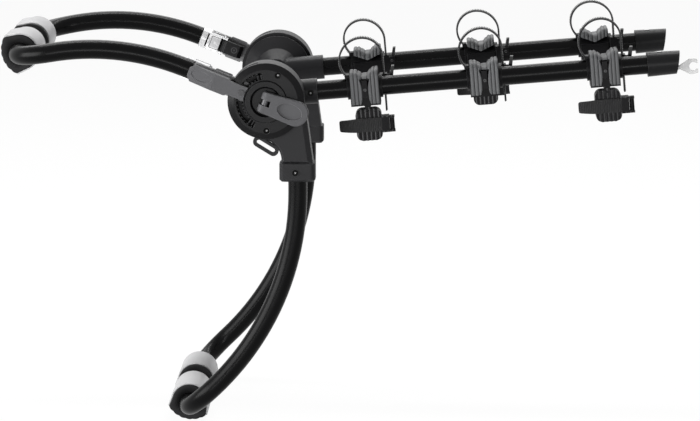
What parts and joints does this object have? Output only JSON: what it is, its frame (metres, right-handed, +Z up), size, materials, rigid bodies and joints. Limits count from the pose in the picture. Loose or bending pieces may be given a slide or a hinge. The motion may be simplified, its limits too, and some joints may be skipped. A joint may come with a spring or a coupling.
{
  "type": "trunk mounted bike rack",
  "caption": "Trunk bike rack: U-shaped tube frames turn on round hubs and rest on a car by rubber pads; folding arms carry bicycles in strapped cradles.",
  "frame": {"origin": "midway between the two lower pads, on the line where they touch the car", "axes": "+X to the rear along the arms, +Y to the rack's right side, +Z up"},
  "size_m": [1.0511, 0.439, 0.6274],
  "materials": {
    "frame_paint": "gloss black powder coat",
    "hub_black": "fine-grained black, glass filled",
    "cover_black": "satin black",
    "dial_grey": "matt dark grey, coarse",
    "axle_steel": "dark zinc",
    "screw_steel": "black zinc, bright sockets",
    "lever_grey": "satin mid grey",
    "pad_rubber": "matt black",
    "band_silver": "light grey, satin",
    "bracket_steel": "satin black",
    "plate_grey": "satin grey",
    "rivet_steel": "satin",
    "buckle_chrome": "bright",
    "cam_black": "satin black",
    "arm_alloy": "black powder coat on cast alloy",
    "cap_black": "semi-gloss black",
    "cradle_black": "satin black",
    "cradle_rubber": "matt grey, ribbed",
    "strap_rubber": "matt black, toothed",
    "ratchet_grey": "satin grey",
    "cable_coat": "black sheath over steel cable",
    "fork_bright": "bright zinc"
  },
  "bodies": {
    "base": {"lower_frame_tube": "frame_paint", "hub_casting_left": "hub_black", "hub_casting_right": "hub_black", "hub_cover_left": "cover_black", "hub_cover_right": "cover_black", "dial_rings": "dial_grey", "hub_axles": "axle_steel", "lever_pins": "screw_steel", "hub_screws": "screw_steel", "lower_pad_left": "pad_rubber", "lower_pad_right": "pad_rubber", "lower_sleeves": "band_silver"},
    "upper_frame": {"upper_frame_tube": "frame_paint", "upper_bracket_left": "bracket_steel", "upper_bracket_right": "bracket_steel", "side_plate_left": "plate_grey", "side_plate_right": "plate_grey", "plate_rivets": "rivet_steel", "strap_buckle_left": "buckle_chrome", "strap_buckle_right": "buckle_chrome", "buckle_pins": "rivet_steel", "upper_pad_left": "pad_rubber", "upper_pad_right": "pad_rubber", "upper_sleeves": "band_silver"},
    "arm_left": {"arm_bracket_left": "arm_alloy", "arm_tube_left": "frame_paint", "arm_cap_left": "cap_black", "arm_screw_left": "screw_steel", "cradle_bases_left": "cradle_black", "cradle_pads_left": "cradle_rubber", "cradle_straps_left": "strap_rubber"},
    "arm_right": {"arm_bracket_right": "arm_alloy", "arm_tube_right": "frame_paint", "arm_cap_right": "cap_black", "arm_screw_right": "screw_steel", "cradle_bases_right": "cradle_black", "cradle_pads_right": "cradle_rubber", "cradle_straps_right": "strap_rubber", "lock_core": "rivet_steel"},
    "hub_lever_left": {"hub_lever_left": "lever_grey"},
    "hub_lever_right": {"hub_lever_right": "lever_grey"},
    "buckle_cam_left": {"buckle_cam_left": "cam_black"},
    "buckle_cam_right": {"buckle_cam_right": "cam_black"},
    "ratchet_lever_left_1": {"ratchet_lever_left_1": "ratchet_grey"},
    "ratchet_lever_left_2": {"ratchet_lever_left_2": "ratchet_grey"},
    "ratchet_lever_left_3": {"ratchet_lever_left_3": "ratchet_grey"},
    "ratchet_lever_right_1": {"ratchet_lever_right_1": "ratchet_grey"},
    "ratchet_lever_right_2": {"ratchet_lever_right_2": "ratchet_grey"},
    "ratchet_lever_right_3": {"ratchet_lever_right_3": "ratchet_grey"},
    "sway_cage_left_1": {"sway_cage_left_1": "cradle_black", "sway_strap_left_1": "strap_rubber"},
    "sway_lever_left_1": {"sway_lever_left_1": "cradle_black"},
    "sway_cage_left_3": {"sway_cage_left_3": "cradle_black", "sway_strap_left_3": "strap_rubber"},
    "sway_lever_left_3": {"sway_lever_left_3": "cradle_black"},
    "sway_cage_right_2": {"sway_cage_right_2": "cradle_black", "sway_strap_right_2": "strap_rubber"},
    "sway_lever_right_2": {"sway_lever_right_2": "cradle_black"},
    "lock": {"lock_cable": "cable_coat", "lock_fork": "fork_bright"}
  },
  "joints": [
    {"name": "upper_frame_turn", "type": "hinge", "parent": "base", "child": "upper_frame", "pos_m": [0.13178, 0, 0.50967], "axis": [0, 1, 0], "range_deg": [-66, 41]},
    {"name": "arm_fold_left", "type": "hinge", "parent": "base", "child": "arm_left", "pos_m": [0.13178, -0.131, 0.50967], "axis": [0, 1, 0], "range_deg": [0, 85]},
    {"name": "arm_fold_right", "type": "hinge", "parent": "base", "child": "arm_right", "pos_m": [0.13178, 0.131, 0.50967], "axis": [0, 1, 0], "range_deg": [0, 85]},
    {"name": "hub_lever_turn_left", "type": "hinge", "parent": "base", "child": "hub_lever_left", "pos_m": [0.13178, -0.211, 0.50967], "axis": [-0.342, 0, -0.9397], "range_deg": [0, 100]},
    {"name": "hub_lever_turn_right", "type": "hinge", "parent": "base", "child": "hub_lever_right", "pos_m": [0.13178, 0.211, 0.50967], "axis": [0.342, 0, 0.9397], "range_deg": [0, 100]},
    {"name": "buckle_cam_turn_left", "type": "hinge", "parent": "upper_frame", "child": "buckle_cam_left", "pos_m": [0.04333, -0.171, 0.54433], "axis": [0.3649, 0, 0.9311], "range_deg": [0, 65]},
    {"name": "buckle_cam_turn_right", "type": "hinge", "parent": "upper_frame", "child": "buckle_cam_right", "pos_m": [0.04333, 0.171, 0.54433], "axis": [-0.3649, 0, -0.9311], "range_deg": [0, 65]},
    {"name": "ratchet_lever_turn_left_1", "type": "hinge", "parent": "arm_left", "child": "ratchet_lever_left_1", "pos_m": [0.31553, -0.1058, 0.53112], "axis": [0, 1, 0], "range_deg": [0, 60]},
    {"name": "ratchet_lever_turn_left_2", "type": "hinge", "parent": "arm_left", "child": "ratchet_lever_left_2", "pos_m": [0.4949, -0.1058, 0.54618], "axis": [0, 1, 0], "range_deg": [0, 60]},
    {"name": "ratchet_lever_turn_left_3", "type": "hinge", "parent": "arm_left", "child": "ratchet_lever_left_3", "pos_m": [0.67427, -0.1058, 0.56124], "axis": [0, 1, 0], "range_deg": [0, 60]},
    {"name": "ratchet_lever_turn_right_1", "type": "hinge", "parent": "arm_right", "child": "ratchet_lever_right_1", "pos_m": [0.31553, 0.1058, 0.53112], "axis": [0, 1, 0], "range_deg": [0, 60]},
    {"name": "ratchet_lever_turn_right_2", "type": "hinge", "parent": "arm_right", "child": "ratchet_lever_right_2", "pos_m": [0.4949, 0.1058, 0.54618], "axis": [0, 1, 0], "range_deg": [0, 60]},
    {"name": "ratchet_lever_turn_right_3", "type": "hinge", "parent": "arm_right", "child": "ratchet_lever_right_3", "pos_m": [0.67427, 0.1058, 0.56124], "axis": [0, 1, 0], "range_deg": [0, 60]},
    {"name": "sway_cage_turn_left_1", "type": "hinge", "parent": "arm_left", "child": "sway_cage_left_1", "pos_m": [0.28218, -0.131, 0.49089], "axis": [0, 1, 0], "range_deg": [-22, 22]},
    {"name": "sway_lever_turn_left_1", "type": "hinge", "parent": "sway_cage_left_1", "child": "sway_lever_left_1", "pos_m": [0.31912, -0.146, 0.4692], "axis": [0.0837, 0, -0.9965], "range_deg": [0, 50]},
    {"name": "sway_cage_turn_left_3", "type": "hinge", "parent": "arm_left", "child": "sway_cage_left_3", "pos_m": [0.64092, -0.131, 0.52101], "axis": [0, 1, 0], "range_deg": [-22, 22]},
    {"name": "sway_lever_turn_left_3", "type": "hinge", "parent": "sway_cage_left_3", "child": "sway_lever_left_3", "pos_m": [0.67786, -0.146, 0.49933], "axis": [0.0837, 0, -0.9965], "range_deg": [0, 50]},
    {"name": "sway_cage_turn_right_2", "type": "hinge", "parent": "arm_right", "child": "sway_cage_right_2", "pos_m": [0.46155, 0.131, 0.50595], "axis": [0, 1, 0], "range_deg": [-22, 22]},
    {"name": "sway_lever_turn_right_2", "type": "hinge", "parent": "sway_cage_right_2", "child": "sway_lever_right_2", "pos_m": [0.49849, 0.146, 0.48427], "axis": [-0.0837, 0, 0.9965], "range_deg": [0, 50]},
    {"name": "lock_cable_slide", "type": "slide", "parent": "arm_left", "child": "lock", "axis": [0.9965, 0, 0.0837], "range_m": [0, 0.45]}
  ]
}
